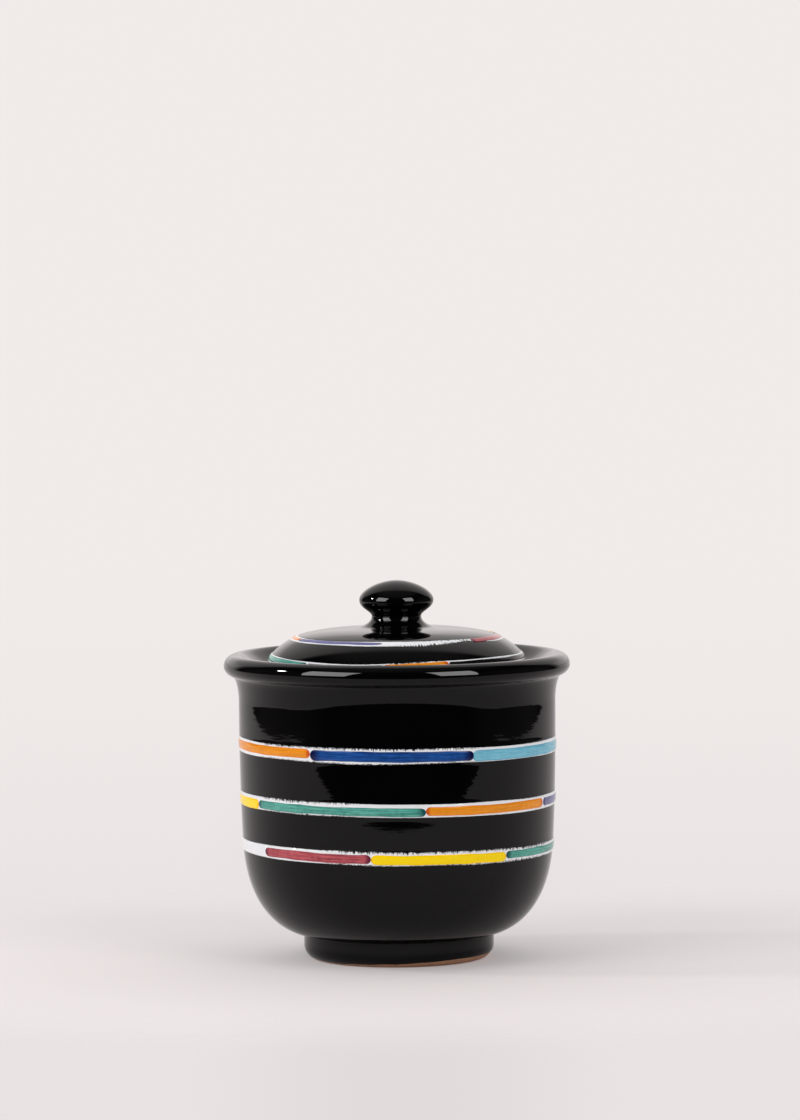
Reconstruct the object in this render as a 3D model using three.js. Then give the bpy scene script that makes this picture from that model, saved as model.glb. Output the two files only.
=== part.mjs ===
// A lidded majolica jar: thrown and turned earthenware, glazed black, with white bands and brushed strokes.
// Millimetres, +Z up. The origin is the centre of the foot, on the table.
// Azimuths are in degrees about +Z: 0 faces the front (-Y), 90 faces the right (+X).

import * as THREE from "three";

// Foot ring
const FOOT_RADIUS = 50.2;
const FOOT_HEIGHT = 13.3;
const FOOT_EDGE_WIDTH = 6.8;
const FOOT_EDGE_HEIGHT = 7.8;
const FOOT_CONTACT_WIDTH = 4.4;
const FOOT_RECESS_DEPTH = 9.8;
const FOOT_RECESS_TAPER = 2;

// Body, from the foot up. A pull is how far a curve follows its end's direction before it turns.
const BODY_RADIUS = 83.45;
const BODY_TAPER = 1.55;
const BOWL_HEIGHT = 48.8;
const BOWL_HEEL_PULL = 5.5;
const BOWL_SIDE_PULL = 41.7;
const WALL_HEIGHT = 74;
const WALL_LEAN = 2.9;
const WALL_THICKNESS = 6.15;
const FLOOR_THICKNESS = 8;
const FLOOR_RADIUS = 40;
const FLOOR_PULL = 20;
const INSIDE_WALL_PULL = 28;

// Rolled rim
const ROLL_OVERHANG = 7.85;
const ROLL_WIDTH = 6.4;
const ROLL_HEIGHT = 5.8;
const ROLL_RISE = 19.1;
const ROLL_UNDERCUT = 65;
const FLARE_WALL_PULL = 6;
const FLARE_ROLL_PULL = 2.75;

// Gallery inside the rim: a shallow dish, and the ledge that carries the lid
const DISH_WIDTH = 14.6;
const DISH_DEPTH = 7.5;
const DISH_CREST_PULL = 5;
const DISH_LEDGE_PULL = 5;
const DISH_LEDGE_SLOPE = 10;
const LEDGE_WIDTH = 7.2;
const LEDGE_THICKNESS = 6.5;
const LEDGE_EASE = 0.8;
const LEDGE_ROOT_WIDTH = 9;
const LEDGE_ROOT_PULL = 5.4;

// Lid, from its seat up
const LID_REST_GAP = 0.3;
const LID_EDGE_CLEARANCE = 2.5;
const LID_FLANGE_CLEARANCE = 1.8;
const LID_FLANGE_DEPTH = 10;
const LID_FLANGE_THICKNESS = 5;
const LID_THICKNESS = 5;
const LID_HOLLOW_FULLNESS = 0.7;
const LID_EDGE_HEIGHT = 3.45;
const LID_EDGE_EASE = 0.7;
const LID_EDGE_LEAN = 6;
const LID_EDGE_PULL = 5.4;
const SHOULDER_WIDTH = 16.9;
const SHOULDER_RISE = 13.8;
const SHOULDER_PULL = 4.7;
const CROWN_RISE = 3.93;
const CROWN_SLOPE = 15.3;
const CROWN_PULL = 12.1;
const CROWN_STUB_PULL = 7.7;

// Knob, from the foot of the stub that carries it
const STUB_FILLET_WIDTH = 7.5;
const STUB_FILLET_HEIGHT = 5.57;
const STUB_FILLET_SLOPE = 5.5;
const STUB_FILLET_PULL = 3.2;
const KNOB_NECK_RADIUS = 13.05;
const KNOB_RADIUS = 19.6;
const KNOB_UNDERSIDE_HEIGHT = 8.55;
const KNOB_NECK_PULL = 2.6;
const KNOB_RIM_PULL = 4.6;
const KNOB_CAP_HEIGHT = 10.4;
const KNOB_CAP_RIM_PULL = 5;
const KNOB_CAP_TOP_PULL = 9.4;

// Glaze layers
const WHITE_THICKNESS = 0.35;
const WHITE_BEVEL = 0.4;
const ENAMEL_THICKNESS = 0.35;
const STROKE_BLUNTNESS = 0.35;
const STROKE_END_STEPS = [0, 0.15, 0.45, 1];

// White bands and the strokes brushed on them. A jar band is placed by its height, and a lid band by how far
// up the dome it starts from the lid's edge. A stroke is its colour and the azimuths it runs between.
const LOW_BAND = {
  name: "low_band",
  height: 60.45,
  width: 6.5,
  strokeWidth: 4.4,
  strokes: [
    ["crimson", -57.1, -10.1], ["yellow", -9.7, 42.7], ["green", 43.1, 102],
    ["blue", 102.6, 160], ["orange", 160.6, 214], ["violet", 214.6, 262],
  ],
};
const MIDDLE_BAND = {
  name: "middle_band",
  height: 85.55,
  width: 6.9,
  strokeWidth: 4.3,
  strokes: [
    ["yellow", -116, -60.8], ["green", -60.3, 9.8], ["orange", 10.2, 65.1],
    ["violet", 66.1, 128], ["crimson", 128.6, 181], ["sky", 181.6, 243],
  ],
};
const HIGH_BAND = {
  name: "high_band",
  height: 113.85,
  width: 7.5,
  strokeWidth: 4.6,
  strokes: [
    ["orange", -97, -32.9], ["blue", -32.4, 27.9], ["sky", 28.3, 95],
    ["yellow", 95.6, 150], ["crimson", 150.6, 206], ["green", 206.6, 262],
  ],
};
const EDGE_BAND = {
  name: "lid_edge_band",
  start: 0.6,
  width: 4.4,
  strokeWidth: 2.7,
  strokes: [
    ["green", -104, -44.2], ["black", -43.5, -6.2], ["orange", -5.4, 23.3], ["black", 24.1, 80],
    ["blue", 81.5, 138], ["yellow", 139.5, 196], ["crimson", 197.5, 254.5],
  ],
};
const CROWN_BAND = {
  name: "lid_crown_band",
  start: 16.7,
  width: 4.2,
  strokeWidth: 2.2,
  strokes: [
    ["orange", -112, -69], ["violet", -67.8, -8.2], ["crimson", 46.5, 104],
    ["yellow", 106, 152], ["green", 154, 199], ["sky", 201, 246],
  ],
};
const JAR_BANDS = [LOW_BAND, MIDDLE_BAND, HIGH_BAND];
const LID_BANDS = [EDGE_BAND, CROWN_BAND];

// Fineness: facets round each turned piece, and steps along each curve of a section
const COLUMNS = 48;
const COLUMN_ANGLE = 360 / COLUMNS;
const SIDE_STEPS = [7, 4, 5];
const DOME_STEPS = [7, 5];
const FOOT_EDGE_STEPS = 5;
const UNDER_ROLL_STEPS = 3;
const OVER_ROLL_STEPS = 5;
const DISH_STEPS = 4;
const LEDGE_ROOT_STEPS = 3;
const INSIDE_BOWL_STEPS = 5;
const LID_HOLLOW_STEPS = 5;
const STUB_FILLET_STEPS = 4;
const KNOB_UNDERSIDE_STEPS = 6;
const KNOB_CAP_STEPS = 7;
const BAND_MARGIN = 1;
const SAME_POINT = 1e-4;
const SAME_ANGLE = 1e-6;
const HALVINGS = 40;

// Sizes that follow from the ones above. Lid and knob heights are measured from the lid's seat.
const BOWL_TOP = FOOT_HEIGHT + BOWL_HEIGHT;
const WALL_TOP = BOWL_TOP + WALL_HEIGHT;
const ROLL_CENTRE_HEIGHT = WALL_TOP + ROLL_RISE;
const ROLL_CENTRE_RADIUS = BODY_RADIUS + ROLL_OVERHANG - ROLL_WIDTH;
const LEDGE_HEIGHT = ROLL_CENTRE_HEIGHT + ROLL_HEIGHT - DISH_DEPTH;
const GALLERY_RADIUS = ROLL_CENTRE_RADIUS - DISH_WIDTH;
const MOUTH_RADIUS = GALLERY_RADIUS - LEDGE_WIDTH;
const LID_RADIUS = GALLERY_RADIUS - LID_EDGE_CLEARANCE;
const FLANGE_RADIUS = MOUTH_RADIUS - LID_FLANGE_CLEARANCE;
const STUB_FOOT_HEIGHT = LID_EDGE_HEIGHT + SHOULDER_RISE + CROWN_RISE;
const STUB_TOP = STUB_FOOT_HEIGHT + STUB_FILLET_HEIGHT;

const COLOURS = {
  glaze: 0x0b0b0d,
  white: 0xe9e8ea,
  orange: 0xe8902a,
  blue: 0x1f4590,
  sky: 0x74b3cf,
  yellow: 0xf3c911,
  green: 0x3f8f7a,
  crimson: 0xb0525c,
  violet: 0x5a5690,
  black: 0x17161a,
};
const GLAZE_ROUGHNESS = 0.06;

const { degToRad, radToDeg } = THREE.MathUtils;

// A point of a half-section: distance from the axis, and height.
function at(radius, height) {
  return new THREE.Vector2(radius, height);
}

// A step of a given length along a slope in degrees: 0 is outwards and 90 is upwards.
function step(length, slope) {
  return at(length * Math.cos(degToRad(slope)), length * Math.sin(degToRad(slope)));
}

function bezier(start, startPull, endPull, end) {
  return new THREE.CubicBezierCurve(start, start.clone().add(startPull), end.clone().add(endPull), end);
}

function path(...curves) {
  const whole = new THREE.CurvePath();
  curves.forEach((curve) => whole.add(curve));
  return whole;
}

// Joins stretches of a section, dropping points that repeat the one before.
function joined(...stretches) {
  const points = [];
  for (const point of stretches.flat()) {
    const last = points.at(-1);
    if (!last || last.distanceTo(point) > SAME_POINT) points.push(point);
  }
  return points;
}

// Where a climbing curve reaches a height, as a parameter from 0 to 1.
function parameterAtHeight(curve, height) {
  let low = 0;
  let high = 1;
  for (let i = 0; i < HALVINGS; i += 1) {
    const middle = (low + high) / 2;
    if (curve.getPoint(middle).y < height) low = middle;
    else high = middle;
  }
  return low;
}

// Evenly spaced stations along each curve of a path, as parameters of the whole path.
function stationsAlong(whole, steps) {
  const ends = whole.getCurveLengths();
  const starts = [0, ...ends];
  const inner = steps.flatMap((count, i) => (
    Array.from({ length: count }, (_, k) => starts[i] + (k / count) * (ends[i] - starts[i]))
  ));
  return [...inner.map((distance) => distance / ends.at(-1)), 1];
}

// Points along a path. Each band on it is one straight stretch, so that the band lies flat on the clay.
function pointsWithBands(whole, steps, bands) {
  const clear = BAND_MARGIN / whole.getLength();
  const free = (t) => bands.every((band) => t < band.from - clear || t > band.to + clear);
  const edges = bands.flatMap((band) => [band.from, band.to]);
  const stations = [...stationsAlong(whole, steps).filter(free), ...edges];
  return stations.sort((a, b) => a - b).map((t) => whole.getPoint(t));
}

// Turns a half-section about the upright axis.
function turned(section) {
  return new THREE.LatheGeometry(section, COLUMNS).rotateX(Math.PI / 2);
}

function mesh(name, geometry, colour) {
  const material = new THREE.MeshStandardMaterial({
    color: COLOURS[colour],
    roughness: GLAZE_ROUGHNESS,
    metalness: 0,
  });
  const piece = new THREE.Mesh(geometry, material);
  piece.name = name;
  return piece;
}

// Foot ring: a recess below, a flat ring to stand on, and a rounded outer edge.
function footSection() {
  const contactRadius = FOOT_RADIUS - FOOT_EDGE_WIDTH;
  const recessRadius = contactRadius - FOOT_CONTACT_WIDTH;
  const edge = new THREE.EllipseCurve(
    contactRadius, FOOT_EDGE_HEIGHT, FOOT_EDGE_WIDTH, FOOT_EDGE_HEIGHT, -Math.PI / 2, 0,
  );
  return [
    at(0, FOOT_RECESS_DEPTH),
    at(recessRadius - FOOT_RECESS_TAPER, FOOT_RECESS_DEPTH),
    at(recessRadius, 0),
    ...edge.getPoints(FOOT_EDGE_STEPS),
  ];
}

// A stretch of the roll's section, by its angles above the horizontal.
function rollArc(from, to) {
  return new THREE.EllipseCurve(
    ROLL_CENTRE_RADIUS, ROLL_CENTRE_HEIGHT, ROLL_WIDTH, ROLL_HEIGHT, degToRad(from), degToRad(to),
  );
}

// The outside of the jar from the foot to the roll: bowl, wall and flare.
function jarSide() {
  const heel = at(FOOT_RADIUS, FOOT_HEIGHT);
  const bowlTop = at(BODY_RADIUS - BODY_TAPER, BOWL_TOP);
  const wallTop = at(BODY_RADIUS, WALL_TOP);
  const wallPull = WALL_HEIGHT / 3;
  return path(
    bezier(heel, at(BOWL_HEEL_PULL, 0), step(BOWL_SIDE_PULL, -90 - WALL_LEAN), bowlTop),
    bezier(bowlTop, step(wallPull, 90 - WALL_LEAN), at(0, -wallPull), wallTop),
    bezier(wallTop, at(0, FLARE_WALL_PULL), at(-FLARE_ROLL_PULL, 0), rollArc(-ROLL_UNDERCUT, 0).getPoint(0)),
  );
}

// Rim: the roll, the dish inside it, the ledge and its root in the wall.
function rimSection() {
  const underRoll = rollArc(-ROLL_UNDERCUT, 0);
  const overRoll = rollArc(0, 90);
  const ledgeEnd = at(GALLERY_RADIUS, LEDGE_HEIGHT);
  const dish = bezier(
    overRoll.getPoint(1), at(-DISH_CREST_PULL, 0), step(DISH_LEDGE_PULL, DISH_LEDGE_SLOPE), ledgeEnd,
  );
  const underside = LEDGE_HEIGHT - LEDGE_THICKNESS;
  const innerWall = at(BODY_RADIUS - WALL_THICKNESS, WALL_TOP);
  const root = bezier(
    at(innerWall.x - LEDGE_ROOT_WIDTH, underside), at(LEDGE_ROOT_PULL, 0), at(0, LEDGE_ROOT_PULL), innerWall,
  );
  return joined(
    underRoll.getPoints(UNDER_ROLL_STEPS),
    overRoll.getPoints(OVER_ROLL_STEPS),
    dish.getPoints(DISH_STEPS),
    [at(MOUTH_RADIUS + LEDGE_EASE, LEDGE_HEIGHT), at(MOUTH_RADIUS, LEDGE_HEIGHT - LEDGE_EASE)],
    [at(MOUTH_RADIUS, underside + LEDGE_EASE), at(MOUTH_RADIUS + LEDGE_EASE, underside)],
    root.getPoints(LEDGE_ROOT_STEPS),
  );
}

// Inside of the jar, from the wall down to the middle of the floor.
function insideSection() {
  const floorHeight = FOOT_RECESS_DEPTH + FLOOR_THICKNESS;
  const wallFoot = at(BODY_RADIUS - BODY_TAPER - WALL_THICKNESS, BOWL_TOP);
  const floorEdge = at(FLOOR_RADIUS, floorHeight);
  const bowl = bezier(wallFoot, step(INSIDE_WALL_PULL, -90 - WALL_LEAN), at(FLOOR_PULL, 0), floorEdge);
  return [...bowl.getPoints(INSIDE_BOWL_STEPS), at(0, floorHeight)];
}

// A band where it lies on a path: its ends as parameters, and its edge points on the clay.
function placeBand(band, whole, from, to) {
  return { ...band, from, to, low: whole.getPoint(from), high: whole.getPoint(to) };
}

// The outer face of a white band: one thickness off the clay, and bevelled at both edges.
function bandFace({ low, high }) {
  const along = high.clone().sub(low).normalize();
  const out = at(along.y, -along.x);
  const lifted = (edge, inset) => (
    edge.clone().addScaledVector(out, WHITE_THICKNESS).addScaledVector(along, inset)
  );
  return { low: lifted(low, WHITE_BEVEL), high: lifted(high, -WHITE_BEVEL), along, out };
}

function bandGeometry(band) {
  const face = bandFace(band);
  return turned([band.low, face.low, face.high, band.high, band.low]);
}

// A brush stroke: a thin pad bent round the band, flat on its facets, with rounded ends.
function strokeGeometry(band, from, to) {
  const face = bandFace(band);
  const middle = face.low.clone().lerp(face.high, 0.5);
  const half = band.strokeWidth / 2;
  const endAngle = radToDeg(half / middle.x);
  const stations = strokeStations(from, to, endAngle);
  const positions = [];
  for (const angle of stations) {
    const short = Math.max(0, 1 - Math.min(angle - from, to - angle) / endAngle);
    const fullness = Math.max(STROKE_BLUNTNESS, Math.sqrt(1 - short ** 2));
    for (const corner of strokeCorners(face, middle, half * fullness)) {
      positions.push(...onFacet(corner, angle));
    }
  }
  const geometry = new THREE.BufferGeometry();
  geometry.setAttribute("position", new THREE.Float32BufferAttribute(positions, 3));
  geometry.setIndex(loftFaces(stations.length));
  return geometry;
}

// Azimuths of a stroke's sections: its rounded ends, and each edge between the band's facets.
function strokeStations(from, to, endAngle) {
  const ends = STROKE_END_STEPS.flatMap((part) => [from + part * endAngle, to - part * endAngle]);
  const first = Math.floor(from / COLUMN_ANGLE) + 1;
  const last = Math.ceil(to / COLUMN_ANGLE) - 1;
  const edges = Array.from({ length: last - first + 1 }, (_, i) => (first + i) * COLUMN_ANGLE);
  const sorted = [...ends, ...edges].sort((a, b) => a - b);
  return sorted.filter((angle, i) => i === 0 || angle - sorted[i - 1] > SAME_ANGLE);
}

// The four corners of a stroke's section: inner low, outer low, outer high, inner high.
function strokeCorners({ along, out }, middle, half) {
  const low = middle.clone().addScaledVector(along, -half);
  const high = middle.clone().addScaledVector(along, half);
  const lifted = (edge) => edge.clone().addScaledVector(out, ENAMEL_THICKNESS);
  return [low, lifted(low), lifted(high), high];
}

// A section point turned to an azimuth, on the flat facet that it falls on.
function onFacet(point, angle) {
  const facetMiddle = (Math.floor(angle / COLUMN_ANGLE) + 0.5) * COLUMN_ANGLE;
  const chord = Math.cos(degToRad(COLUMN_ANGLE / 2)) / Math.cos(degToRad(angle - facetMiddle));
  const radius = point.x * chord;
  return [radius * Math.sin(degToRad(angle)), -radius * Math.cos(degToRad(angle)), point.y];
}

// Faces of a loft through four-cornered sections, closed at both ends.
function loftFaces(sections) {
  const faces = [0, 1, 2, 0, 2, 3];
  for (let i = 0; i < sections - 1; i += 1) {
    for (let k = 0; k < 4; k += 1) {
      const a = 4 * i + k;
      const d = 4 * i + ((k + 1) % 4);
      faces.push(a, a + 4, d + 4, a, d + 4, d);
    }
  }
  const end = 4 * (sections - 1);
  faces.push(end, end + 2, end + 1, end, end + 3, end + 2);
  return faces;
}

// A white band and its strokes, as separate pieces.
function bandPieces(band) {
  const strokes = band.strokes.map(([colour, from, to], i) => (
    mesh(`${band.name}_stroke_${i + 1}_${colour}`, strokeGeometry(band, from, to), colour)
  ));
  return [mesh(band.name, bandGeometry(band), "white"), ...strokes];
}

function makeJar() {
  const side = jarSide();
  const bands = JAR_BANDS.map((band) => {
    const edges = [band.height - band.width / 2, band.height + band.width / 2];
    return placeBand(band, side, ...edges.map((height) => parameterAtHeight(side, height)));
  });
  const outside = pointsWithBands(side, SIDE_STEPS, bands);
  const section = joined(footSection(), outside, rimSection(), insideSection());
  const jar = new THREE.Group();
  jar.add(mesh("jar_body", turned(section), "glaze"), ...bands.flatMap(bandPieces));
  return jar;
}

// The outside of the lid from the top of its edge to the foot of the knob's stub.
function lidDome() {
  const edgeTop = at(LID_RADIUS, LID_EDGE_HEIGHT);
  const crownEdge = edgeTop.clone().add(at(-SHOULDER_WIDTH, SHOULDER_RISE));
  const stubFoot = at(KNOB_NECK_RADIUS + STUB_FILLET_WIDTH, STUB_FOOT_HEIGHT);
  const crownPull = step(CROWN_PULL, 180 - CROWN_SLOPE);
  const stubPull = step(CROWN_STUB_PULL, -STUB_FILLET_SLOPE);
  return path(
    bezier(edgeTop, step(LID_EDGE_PULL, 90 + LID_EDGE_LEAN), step(SHOULDER_PULL, -CROWN_SLOPE), crownEdge),
    bezier(crownEdge, crownPull, stubPull, stubFoot),
  );
}

// Underside of the lid: hollow dome, locating flange, and the seat that rests on the ledge.
function lidUnderside() {
  const flangeInside = FLANGE_RADIUS - LID_FLANGE_THICKNESS;
  const hollowTop = at(0, STUB_FOOT_HEIGHT - LID_THICKNESS);
  const hollowEdge = at(flangeInside, LID_THICKNESS);
  const hollow = bezier(
    hollowTop,
    at(flangeInside * LID_HOLLOW_FULLNESS, 0),
    at(0, (hollowTop.y - hollowEdge.y) * LID_HOLLOW_FULLNESS),
    hollowEdge,
  );
  return [
    ...hollow.getPoints(LID_HOLLOW_STEPS),
    at(flangeInside, LID_EDGE_EASE - LID_FLANGE_DEPTH),
    at(flangeInside + LID_EDGE_EASE, -LID_FLANGE_DEPTH),
    at(FLANGE_RADIUS - LID_EDGE_EASE, -LID_FLANGE_DEPTH),
    at(FLANGE_RADIUS, LID_EDGE_EASE - LID_FLANGE_DEPTH),
    at(FLANGE_RADIUS, 0),
    at(LID_RADIUS - LID_EDGE_EASE, 0),
    at(LID_RADIUS, LID_EDGE_EASE),
  ];
}

// The stub that the knob is stuck to, with the fillet at its foot.
function stubSection() {
  const foot = at(KNOB_NECK_RADIUS + STUB_FILLET_WIDTH, STUB_FOOT_HEIGHT);
  const top = at(KNOB_NECK_RADIUS, STUB_TOP);
  const fillet = bezier(foot, step(STUB_FILLET_PULL, 180 - STUB_FILLET_SLOPE), at(0, -STUB_FILLET_PULL), top);
  return [...fillet.getPoints(STUB_FILLET_STEPS), at(0, STUB_TOP)];
}

// Mushroom knob: flat below where it is stuck on, a waisted underside and a domed cap.
function knobSection() {
  const neck = at(KNOB_NECK_RADIUS, 0);
  const rim = at(KNOB_RADIUS, KNOB_UNDERSIDE_HEIGHT);
  const top = at(0, KNOB_UNDERSIDE_HEIGHT + KNOB_CAP_HEIGHT);
  const underside = bezier(neck, at(0, KNOB_NECK_PULL), at(0, -KNOB_RIM_PULL), rim);
  const cap = bezier(rim, at(0, KNOB_CAP_RIM_PULL), at(KNOB_CAP_TOP_PULL, 0), top);
  return joined([at(0, 0)], underside.getPoints(KNOB_UNDERSIDE_STEPS), cap.getPoints(KNOB_CAP_STEPS));
}

function makeLid() {
  const dome = lidDome();
  const length = dome.getLength();
  const bands = LID_BANDS.map((band) => (
    placeBand(band, dome, band.start / length, (band.start + band.width) / length)
  ));
  const section = joined(lidUnderside(), pointsWithBands(dome, DOME_STEPS, bands), stubSection());
  const knob = mesh("lid_knob", turned(knobSection()), "glaze");
  knob.position.z = STUB_TOP;
  const lid = new THREE.Group();
  lid.add(mesh("lid_cover", turned(section), "glaze"), knob, ...bands.flatMap(bandPieces));
  lid.position.z = LEDGE_HEIGHT + LID_REST_GAP;
  return lid;
}

const jarWithLid = new THREE.Group();
jarWithLid.add(makeJar(), makeLid());

export default jarWithLid;
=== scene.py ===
# A lidded majolica jar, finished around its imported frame: black glaze over red earthenware,
# white bands and brushed strokes of coloured enamel. Sections are in millimetres, and pieces in metres.
# Azimuths are in degrees about +Z: 0 faces the front (-Y), 90 faces the right (+X).
import math

import bpy
import numpy as np
from mathutils import Matrix, Vector, noise


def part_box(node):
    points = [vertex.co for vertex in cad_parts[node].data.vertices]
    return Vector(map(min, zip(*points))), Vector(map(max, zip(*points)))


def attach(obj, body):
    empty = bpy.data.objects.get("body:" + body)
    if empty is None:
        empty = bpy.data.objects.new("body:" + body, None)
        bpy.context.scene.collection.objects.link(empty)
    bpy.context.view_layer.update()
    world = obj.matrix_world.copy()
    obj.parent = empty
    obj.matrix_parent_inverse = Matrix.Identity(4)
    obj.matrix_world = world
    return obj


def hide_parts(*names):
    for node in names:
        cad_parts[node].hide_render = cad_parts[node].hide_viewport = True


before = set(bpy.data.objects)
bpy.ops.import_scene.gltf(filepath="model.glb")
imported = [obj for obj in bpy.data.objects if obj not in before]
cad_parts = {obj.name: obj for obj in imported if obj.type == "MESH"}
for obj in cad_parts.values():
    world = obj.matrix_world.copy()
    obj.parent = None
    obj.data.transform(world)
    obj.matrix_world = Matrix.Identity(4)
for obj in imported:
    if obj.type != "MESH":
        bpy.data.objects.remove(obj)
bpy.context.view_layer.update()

MM = 0.001

# Camera, fitted to the ellipses of the rim, bands and foot in the photograph
IMAGE_HEIGHT = 1120
FOCAL_PIXELS = 5651
SENSOR = 36.0
CAMERA_PLACE = (0.0021, -2.97, 0.389)
CAMERA_PITCH = 3.449
CAMERA_ROLL = -0.45

# Jar section
FOOT_RADIUS = 50.2
FOOT_HEIGHT = 13.3
FOOT_EDGE_WIDTH = 6.8
FOOT_EDGE_HEIGHT = 7.8
FOOT_CONTACT_WIDTH = 4.4
FOOT_RING_EASE = 0.6
FOOT_RECESS_DEPTH = 9.8
FOOT_RECESS_TAPER = 2.0
FOOT_RECESS_EASE = 1.2
BODY_RADIUS = 83.45
BODY_TAPER = 1.55
BOWL_HEIGHT = 48.8
BOWL_HEEL_PULL = 5.5
BOWL_HEEL_EASE = 0.8
BOWL_SIDE_PULL = 41.7
WALL_HEIGHT = 74.0
WALL_LEAN = 2.9
WALL_THICKNESS = 6.15
FLOOR_THICKNESS = 8.0
FLOOR_RADIUS = 40.0
FLOOR_PULL = 20.0
INSIDE_WALL_PULL = 28.0
ROLL_OVERHANG = 7.85
ROLL_WIDTH = 6.4
ROLL_HEIGHT = 5.8
ROLL_RISE = 19.1
ROLL_UNDERCUT = 65.0
FLARE_WALL_PULL = 6.0
FLARE_ROLL_PULL = 2.75
DISH_WIDTH = 14.6
DISH_DEPTH = 7.5
DISH_CREST_PULL = 5.0
DISH_LEDGE_PULL = 5.0
DISH_LEDGE_SLOPE = 10.0
LEDGE_WIDTH = 7.2
LEDGE_THICKNESS = 6.5
LEDGE_EASE = 0.8
LEDGE_ROOT_WIDTH = 9.0
LEDGE_ROOT_PULL = 5.4

# Lid and knob section, from the lid's seat up
LID_REST_GAP = 0.3
LID_EDGE_CLEARANCE = 2.5
LID_FLANGE_CLEARANCE = 1.8
LID_FLANGE_DEPTH = 10.0
LID_FLANGE_THICKNESS = 5.0
LID_THICKNESS = 5.0
LID_HOLLOW_FULLNESS = 0.7
LID_EDGE_HEIGHT = 3.45
LID_EDGE_EASE = 0.7
LID_EDGE_LEAN = 6.0
LID_EDGE_PULL = 5.4
SHOULDER_WIDTH = 16.9
SHOULDER_RISE = 13.8
SHOULDER_PULL = 4.7
CROWN_RISE = 3.93
CROWN_SLOPE = 15.3
CROWN_PULL = 12.1
CROWN_STUB_PULL = 7.7
STUB_FILLET_WIDTH = 7.5
STUB_FILLET_HEIGHT = 5.57
STUB_FILLET_SLOPE = 5.5
STUB_FILLET_PULL = 3.2
KNOB_NECK_RADIUS = 13.05
KNOB_RADIUS = 19.6
KNOB_UNDERSIDE_HEIGHT = 8.55
KNOB_NECK_PULL = 2.6
KNOB_RIM_PULL = 4.6
KNOB_CAP_HEIGHT = 10.4
KNOB_CAP_RIM_PULL = 5.0
KNOB_CAP_TOP_PULL = 9.4

# The black glaze: its thickness, and the line where it ends above the bare foot, with that line's height, the
# lowest it comes, how far it rises towards an azimuth, and its waves by height, number to the turn and seed
GLAZE_THICKNESS = 0.3
GLAZE_LINE = 1.9
GLAZE_LINE_LOWEST = 0.3
GLAZE_LINE_SWAY = 1.5
GLAZE_LINE_SWAY_AZIMUTH = 75.0
GLAZE_LINE_WAVES = ((0.35, 9, 3.1), (0.12, 40, 7.7))

# The glaze's lip: the turns of its rounded end, and how far that end climbs, all as angles
LIP_TURNS = (0, 20, 45, 70, 90)
LIP_CLIMB = 2.5

# The bare strip below the glaze: the angle round the foot's edge where it starts, and the least it turns
STRIP_START = -80.0
STRIP_LEAST = 0.5

# Inside the clay, out of sight, where the bare foot and the glazed jar meet: radius and height
CORE_SECTION = ((0.0, 13.8), (33.0, 13.8), (41.0, 10.5), (45.0, 7.0))

# How thick bands and strokes lie, how wide a band's rounded edge is, how far every second stroke is lifted,
# and how deep bands and strokes reach into the black glaze
WHITE_THICKNESS = 0.22
WHITE_EDGE = 0.6
ENAMEL_THICKNESS = 0.2
LAYER_STEP = 0.03
BAND_SUNK = 0.15
STROKE_SUNK = 0.075

# How far the glaze swells under a jar band, and how far beyond the band it falls away
BAND_SWELL = 0.05
SWELL_FADE = 1.8

# Fineness of the meshes: columns to a turn, steps along a stroke, and shares across bands and strokes
COLUMNS = 240
BAND_COLUMNS = 2400
STROKE_STEP = 0.45
STROKE_LEAST_STEPS = 24
BAND_SHARES = (0, 0.03, 0.08, 0.16, 0.3, 0.5, 0.7, 0.84, 0.92, 0.97, 1)
STROKE_SHARES = (-1, -0.94, -0.82, -0.6, -0.3, 0, 0.3, 0.6, 0.82, 0.94, 1)

# Mesh rings: their radius on the recess and the floor, the height of one above the foot's edge, and how far
# the bowl's first ring is from the heel's eased corner
RECESS_RING = 18.0
FLOOR_RING = 20.0
HEEL_LEAD = 2.0
HEEL_CLEARANCE = 0.2

# Eased corners, what counts as one point or as the axis, and the least angle of a crease
EASE_INSET = 0.45
EASE_STEPS = 5
POINT_GAP = 1e-4
AXIS_REACH = 1e-6
CREASE_ANGLE = 40.0

# Sizes that follow from the ones above
BOWL_TOP = FOOT_HEIGHT + BOWL_HEIGHT
WALL_TOP = BOWL_TOP + WALL_HEIGHT
ROLL_CENTRE_HEIGHT = WALL_TOP + ROLL_RISE
ROLL_CENTRE_RADIUS = BODY_RADIUS + ROLL_OVERHANG - ROLL_WIDTH
LEDGE_LEVEL = ROLL_CENTRE_HEIGHT + ROLL_HEIGHT - DISH_DEPTH
GALLERY_RADIUS = ROLL_CENTRE_RADIUS - DISH_WIDTH
MOUTH_RADIUS = GALLERY_RADIUS - LEDGE_WIDTH
LID_LEVEL = LEDGE_LEVEL + LID_REST_GAP
LID_RADIUS = GALLERY_RADIUS - LID_EDGE_CLEARANCE
FLANGE_RADIUS = MOUTH_RADIUS - LID_FLANGE_CLEARANCE
STUB_FOOT_HEIGHT = LID_EDGE_HEIGHT + SHOULDER_RISE + CROWN_RISE
STUB_TOP = STUB_FOOT_HEIGHT + STUB_FILLET_HEIGHT

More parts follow.
